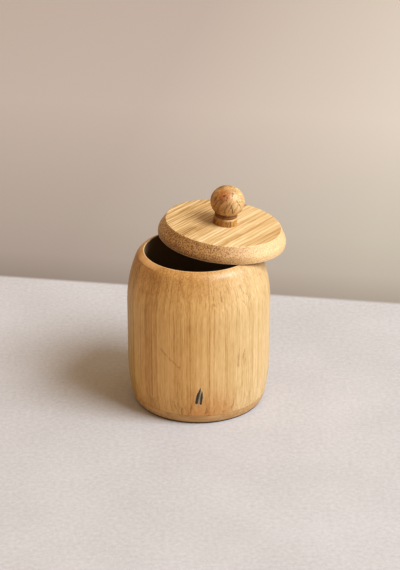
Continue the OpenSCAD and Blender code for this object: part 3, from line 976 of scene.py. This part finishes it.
# %% [markdown]
# ## Steel of the screw: zinc-plated, a little dulled
# Plated steel is a metal, so its colour is the colour of its reflection. Fine turning marks round the shank
# and a cloudy plating keep it from looking like a mirror.

# %% Material of the screw


def plated_steel():
    material, tree = new_material("zinc_plated_steel")
    place = millimetres(tree, IN_LID)
    cloud = add(tree, "TexNoise", {"Vector": place, "Scale": 0.7, "Detail": 3.0})
    rings = fibres(tree, place, 40.0, 0.15, detail=1.0)
    gloss = add(tree, "MapRange", {"Value": cloud, "To Min": 0.28, "To Max": 0.48})
    colour = add(tree, "Mix", {0: cloud, 6: "#A9ABAF", 7: "#C9CBCE"}, **COLOUR)
    bump = add(tree, "Bump", {"Height": rings, "Strength": 0.15, "Distance": 0.03 * MM})
    add_finish(tree, {"Base Color": colour, "Roughness": gloss, "Normal": bump, "Metallic": 1.0})
    return material


screw.data.materials.append(plated_steel())
print("screw finished")

# %% [markdown]
# ## The studio
# A pale stone floor turns a warm grey further back, where it stands for the wall. Its grain is drawn about
# 3 mm wide, far coarser than stone dust, so that it shows. The floor is painted and not bent upwards, so
# nothing stands behind the jar when it is seen from another side.

# %% Floor
FLOOR_HALF = 4.0
STEP_BACK = 0.1747
STEP_TURN_DEG = -9.4
STEP_SOFT = 0.003
# the backdrop is darkest at its foot, as painted shade where wall and floor would meet
BACKDROP_WITH_FOOT_SHADE = ((0, "#998879"), (0.12, "#AB9A8A"), (0.3, "#B3A392"), (1, "#C8B5A4"))

shape = bmesh.new()
bmesh.ops.create_grid(shape, x_segments=1, y_segments=1, size=FLOOR_HALF)
floor = new_object("floor", mesh_of("floor", shape))

material, tree = new_material("pale_stone_floor")
place = add(tree, "TexCoord").outputs["Object"]
turned = add(tree, "Mapping", {"Vector": place, "Rotation": (0, 0, math.radians(-STEP_TURN_DEG))})
ways = add(tree, "SeparateXYZ", {0: turned}).outputs
behind = add(tree, "MapRange", {"Value": ways["Y"], "From Min": STEP_BACK - STEP_SOFT,
                                "From Max": STEP_BACK + STEP_SOFT}, **SMOOTH)
dust = add(tree, "TexNoise", {"Vector": place, "Scale": 330.0, "Detail": 3.0, "Roughness": 0.8})
cloud = add(tree, "TexNoise", {"Vector": place, "Scale": 14.0, "Detail": 3.0})
tone = weigh(tree, (dust, 0.5, 0.7), (cloud, 0.5, 0.3))
stone = add(tree, "Mix", {0: tone, 6: "#989289", 7: "#CFC9C1"}, **COLOUR)
# the backdrop is painted darker at its foot as shade, and darker to the left as the light falling off
rise = add(tree, "MapRange", {"Value": ways["Y"], "From Min": STEP_BACK, "From Max": STEP_BACK + 0.42})
backdrop = add(tree, "ValToRGB", {0: rise}, stops=BACKDROP_WITH_FOOT_SHADE).outputs["Color"]
leftward = add(tree, "MapRange", {"Value": ways["X"], "From Min": -0.15, "From Max": 0.1})
painted_falloff = add(tree, "Mix", {0: leftward, 6: "#DEE2E4", 7: "#F4FFFF"}, **COLOUR)
backdrop = add(tree, "Mix", {0: 1.0, 6: backdrop, 7: painted_falloff}, **TINT)
stone = add(tree, "Mix", {0: behind, 6: stone, 7: backdrop}, **COLOUR)
bump = add(tree, "Bump", {"Height": dust, "Strength": 0.3, "Distance": 0.3 * MM})
add_finish(tree, {"Base Color": stone, "Normal": bump, "Roughness": 0.85})
floor.data.materials.append(material)
print("floor laid")

# %% [markdown]
# ## Light
# One large soft light stands to the right and a little in front, as a window would, and a lower one beside it
# draws the pale line down the right side. A dim warm light from all round fills the shade. The window's place
# was read from two shadows: the knob's on the lid, and the front edge of the jar's on the floor.

# %% Lights and tone
ROOM_LIGHT = 0.64


def soft_light(name, way_deg, up_deg, far, size, power, colour):
    """A square light that looks at the jar. The way is counted from the front to the right."""
    way = math.radians(way_deg)
    rise = math.radians(up_deg)
    towards = Vector((math.sin(way) * math.cos(rise), -math.cos(way) * math.cos(rise), math.sin(rise)))
    lamp = new_object(name, bpy.data.lights.new(name, "AREA"))
    lamp.location = AIM + towards * far
    lamp.rotation_euler = towards.to_track_quat("Z", "Y").to_euler()
    lamp.data.size = size
    lamp.data.energy = power
    lamp.data.color = linear(colour)[:3]
    print(name, "shines from", way_deg, "degrees to the right of the front, at", up_deg, "degrees")


soft_light("window", 63.0, 50.0, 5.0, 2.4, 402.0, "#DDEAFF")
soft_light("pale_screen", 92.0, 20.0, 5.0, 4.0, 98.0, "#DDEAFF")

world = bpy.data.worlds.new("room")
world.use_nodes = True
sky = world.node_tree.nodes["Background"]
sky.inputs["Color"].default_value = linear("#FFE2C2")
sky.inputs["Strength"].default_value = ROOM_LIGHT
bpy.context.scene.world = world
bpy.context.scene.view_settings.view_transform = "Standard"
bpy.context.scene.view_settings.gamma = 0.87
print("room light", ROOM_LIGHT)
